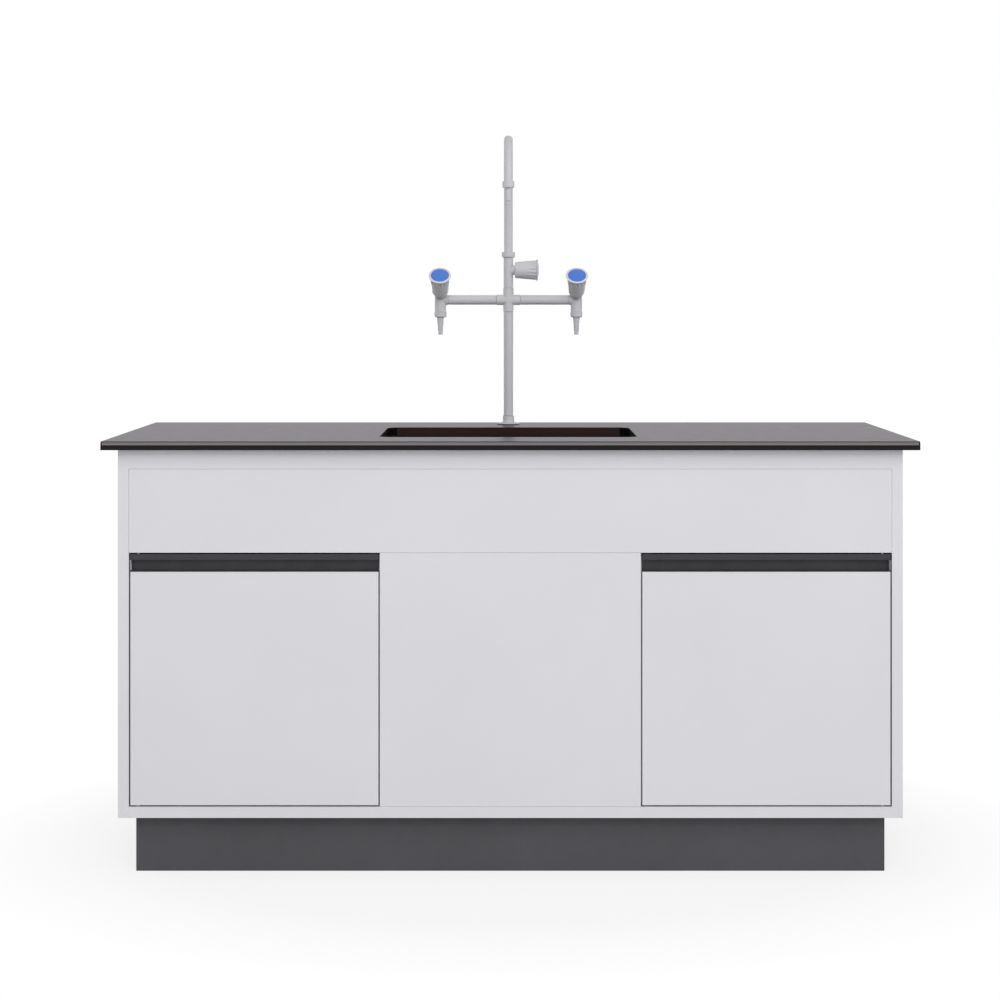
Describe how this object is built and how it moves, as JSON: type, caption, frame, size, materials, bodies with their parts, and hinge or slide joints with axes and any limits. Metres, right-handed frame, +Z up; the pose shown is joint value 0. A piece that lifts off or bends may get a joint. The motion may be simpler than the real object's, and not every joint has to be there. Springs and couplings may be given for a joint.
{
  "type": "laboratory workbench",
  "caption": "Steel laboratory sink bench with hinged doors, recessed handles, a dark worktop over an under-mounted sink, and a lab tap with turning knobs and a swivelling gooseneck.",
  "frame": {"origin": "on the floor under the middle of the worktop", "axes": "+X along the bench to the right as seen from the front, +Y from the front to the back, +Z up"},
  "size_m": [1.5, 0.75, 1.396],
  "materials": {
    "light_powder_coat": "satin powder coat",
    "dark_plinth_laminate": "matt laminate",
    "dark_handle_coat": "dark satin coat",
    "dark_worktop": "satin solid laminate",
    "black_polypropylene": "moulded satin",
    "grey_tap_coat": "semi-gloss coat",
    "grey_knob_plastic": "moulded satin",
    "blue_cap_plastic": "gloss",
    "zinc_plated_steel": "zinc plated",
    "stainless_steel": "polished",
    "white_nylon": "moulded",
    "black_rubber": "matt",
    "grey_waste_plastic": "moulded"
  },
  "bodies": {
    "bench": {"plinth_front": "dark_plinth_laminate", "plinth_back": "dark_plinth_laminate", "plinth_left": "dark_plinth_laminate", "plinth_right": "dark_plinth_laminate", "front_frame": "light_powder_coat", "side_panel_left": "light_powder_coat", "side_panel_right": "light_powder_coat", "bottom_panel": "light_powder_coat", "back_panel": "light_powder_coat", "mullion_left": "light_powder_coat", "mullion_right": "light_powder_coat", "sink_rail_left": "light_powder_coat", "sink_rail_right": "light_powder_coat", "fascia_panel": "light_powder_coat", "centre_panel": "light_powder_coat", "pivot_pin_bottom_left": "zinc_plated_steel", "pivot_pin_bottom_right": "zinc_plated_steel", "pivot_bush_top_left": "white_nylon", "pivot_bush_top_right": "white_nylon", "door_catch_left": "white_nylon", "door_catch_right": "white_nylon", "worktop": "dark_worktop", "sink_bowl": "black_polypropylene", "waste_fitting": "stainless_steel", "bottle_trap": "grey_waste_plastic", "tap_base": "grey_tap_coat", "tap_locknut": "zinc_plated_steel", "tap_column": "grey_tap_coat", "tap_cross": "grey_tap_coat", "tap_arm_left": "grey_tap_coat", "tap_arm_right": "grey_tap_coat", "valve_left": "grey_tap_coat", "valve_right": "grey_tap_coat", "valve_top": "grey_tap_coat", "hose_nozzle_left": "grey_tap_coat", "hose_nozzle_right": "grey_tap_coat", "swivel_nut": "grey_tap_coat"},
    "left_door": {"door_left": "light_powder_coat", "door_liner_left": "light_powder_coat", "door_handle_left": "dark_handle_coat", "pivot_pin_top_left": "zinc_plated_steel", "pivot_bush_bottom_left": "white_nylon"},
    "right_door": {"door_right": "light_powder_coat", "door_liner_right": "light_powder_coat", "door_handle_right": "dark_handle_coat", "pivot_pin_top_right": "zinc_plated_steel", "pivot_bush_bottom_right": "white_nylon"},
    "left_knob": {"knob_left": "grey_knob_plastic", "knob_cap_left": "blue_cap_plastic"},
    "right_knob": {"knob_right": "grey_knob_plastic", "knob_cap_right": "blue_cap_plastic"},
    "top_knob": {"knob_top": "grey_knob_plastic", "knob_cap_top": "blue_cap_plastic"},
    "spout": {"gooseneck": "grey_tap_coat", "spout_nozzle": "grey_tap_coat"},
    "strainer": {"sink_strainer": "stainless_steel"},
    "front_left_foot": {"levelling_foot_front_left": "black_rubber"},
    "front_right_foot": {"levelling_foot_front_right": "black_rubber"},
    "back_left_foot": {"levelling_foot_back_left": "black_rubber"},
    "back_right_foot": {"levelling_foot_back_right": "black_rubber"}
  },
  "joints": [
    {"name": "left_door_hinge", "type": "hinge", "parent": "bench", "child": "left_door", "pos_m": [-0.6853, -0.339, 0.1292], "axis": [0, 0, -1], "range_deg": [0, 110]},
    {"name": "right_door_hinge", "type": "hinge", "parent": "bench", "child": "right_door", "pos_m": [0.6853, -0.339, 0.1292], "axis": [0, 0, 1], "range_deg": [0, 110]},
    {"name": "left_knob_turn", "type": "hinge", "parent": "bench", "child": "left_knob", "pos_m": [-0.1455, 0.29, 1.059], "axis": [0, -0.7071, 0.7071], "range_deg": [0, 90]},
    {"name": "right_knob_turn", "type": "hinge", "parent": "bench", "child": "right_knob", "pos_m": [0.1375, 0.29, 1.059], "axis": [0, -0.7071, 0.7071], "range_deg": [0, 90]},
    {"name": "top_knob_turn", "type": "hinge", "parent": "bench", "child": "top_knob", "pos_m": [-0.004, 0.29, 1.121], "axis": [1, 0, 0], "range_deg": [0, 90]},
    {"name": "spout_swivel", "type": "hinge", "parent": "bench", "child": "spout", "pos_m": [-0.004, 0.29, 1.147], "axis": [0, 0, 1], "continuous": true},
    {"name": "strainer_lift", "type": "slide", "parent": "bench", "child": "strainer", "axis": [0, 0, 1], "range_m": [0, 0.33]},
    {"name": "front_left_foot_adjust", "type": "slide", "parent": "bench", "child": "front_left_foot", "axis": [0, 0, 1], "range_m": [-0.015, 0]},
    {"name": "front_right_foot_adjust", "type": "slide", "parent": "bench", "child": "front_right_foot", "axis": [0, 0, 1], "range_m": [-0.015, 0]},
    {"name": "back_left_foot_adjust", "type": "slide", "parent": "bench", "child": "back_left_foot", "axis": [0, 0, 1], "range_m": [-0.015, 0]},
    {"name": "back_right_foot_adjust", "type": "slide", "parent": "bench", "child": "back_right_foot", "axis": [0, 0, 1], "range_m": [-0.015, 0]}
  ]
}
